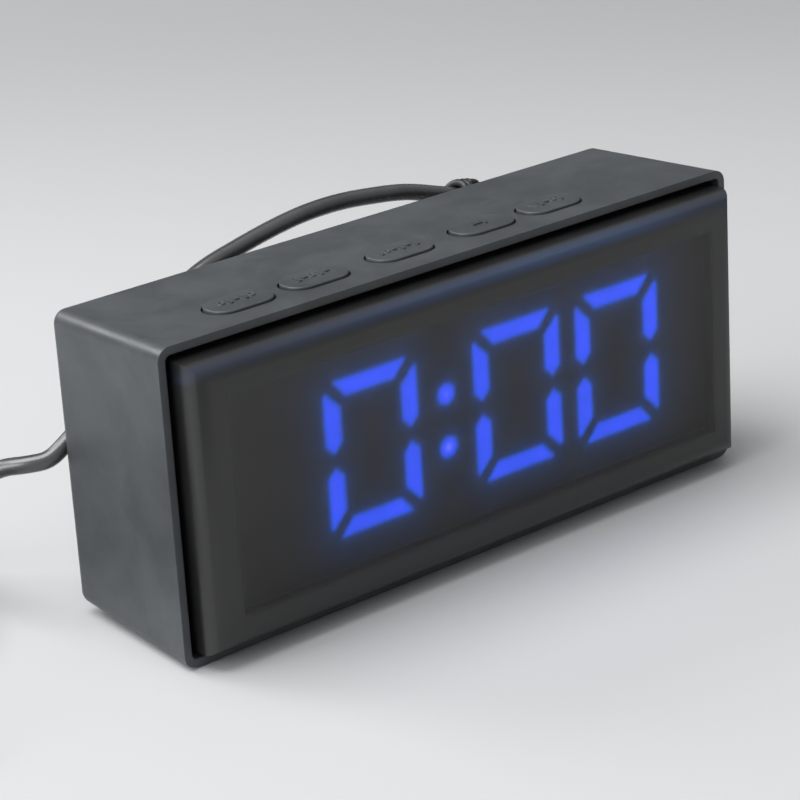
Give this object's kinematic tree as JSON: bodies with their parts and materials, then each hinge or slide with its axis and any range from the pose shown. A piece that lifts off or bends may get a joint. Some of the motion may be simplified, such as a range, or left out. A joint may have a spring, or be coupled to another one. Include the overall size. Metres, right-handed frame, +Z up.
{
  "type": "alarm clock",
  "caption": "Small black box-shaped digital desk alarm clock with a domed smoked lens, blue digits, top keys and a supply cord.",
  "frame": {"origin": "middle of the clock's footprint on the table, without the cord", "axes": "+X along the width, to the right as seen from the display side; -Y towards the display side; +Z up"},
  "size_m": [0.1611, 0.0699, 0.0481],
  "materials": {
    "case_plastic": "satin",
    "lens_plastic": "satin",
    "key_plastic": "satin",
    "inner_plastic": "matte",
    "light_film": "matte",
    "lit_blue": "satin",
    "unlit_guide": "satin",
    "board_green": "satin",
    "ic_black": "matte",
    "socket_cream": "satin",
    "capacitor_sleeve": "gloss",
    "wire_red": "satin",
    "plated_steel": "satin",
    "dark_steel": "satin",
    "contact_brass": "satin",
    "label_foil": "satin",
    "foot_rubber": "matte",
    "cord_rubber": "satin",
    "tie_plastic": "gloss"
  },
  "bodies": {
    "clock": {"case_shell": "case_plastic", "front_lens": "lens_plastic", "display_mask": "inner_plastic", "light_box": "inner_plastic", "diffuser_film": "light_film", "segments_lit": "lit_blue", "segments_unlit": "unlit_guide", "colon_dots": "lit_blue", "display_board": "board_green", "led_chips": "socket_cream", "board_spacers": "socket_cream", "main_board": "board_green", "board_screws": "plated_steel", "controller": "ic_black", "controller_legs": "plated_steel", "crystal_can": "plated_steel", "capacitors": "capacitor_sleeve", "buzzer": "ic_black", "supply_socket": "socket_cream", "supply_wires": "wire_red", "key_board": "board_green", "key_switches": "ic_black", "key_stems": "inner_plastic", "key_ribbon": "light_film", "cell_cup": "ic_black", "backup_cell": "plated_steel", "cell_contacts": "contact_brass", "rear_cover": "case_plastic", "cover_screws": "dark_steel", "rating_label": "label_foil", "feet": "foot_rubber", "strain_relief": "cord_rubber", "cord_lead": "cord_rubber", "lead_tie": "tie_plastic", "cord_coil": "cord_rubber", "coil_tie": "tie_plastic", "cord_tail": "cord_rubber", "plug_body": "cord_rubber", "plug_shell": "plated_steel", "plug_tongue": "socket_cream", "plug_contacts": "contact_brass"},
    "key_1": {"button_1": "key_plastic"},
    "key_2": {"button_2": "key_plastic"},
    "key_3": {"button_3": "key_plastic"},
    "key_4": {"button_4": "key_plastic"},
    "key_5": {"button_5": "key_plastic"},
    "cap": {"cell_cap": "key_plastic"}
  },
  "joints": [
    {"name": "key_1_press", "type": "slide", "parent": "clock", "child": "key_1", "axis": [0, 0, -1], "range_m": [0, 0.0005], "stiffness_N_per_m": 400},
    {"name": "key_2_press", "type": "slide", "parent": "clock", "child": "key_2", "axis": [0, 0, -1], "range_m": [0, 0.0005], "stiffness_N_per_m": 400},
    {"name": "key_3_press", "type": "slide", "parent": "clock", "child": "key_3", "axis": [0, 0, -1], "range_m": [0, 0.0005], "stiffness_N_per_m": 400},
    {"name": "key_4_press", "type": "slide", "parent": "clock", "child": "key_4", "axis": [0, 0, -1], "range_m": [0, 0.0005], "stiffness_N_per_m": 400},
    {"name": "key_5_press", "type": "slide", "parent": "clock", "child": "key_5", "axis": [0, 0, -1], "range_m": [0, 0.0005], "stiffness_N_per_m": 400},
    {"name": "cap_turn", "type": "hinge", "parent": "clock", "child": "cap", "pos_m": [-0.028, 0.0159, 0.022], "axis": [0, 1, 0], "range_deg": [0, 45]}
  ]
}
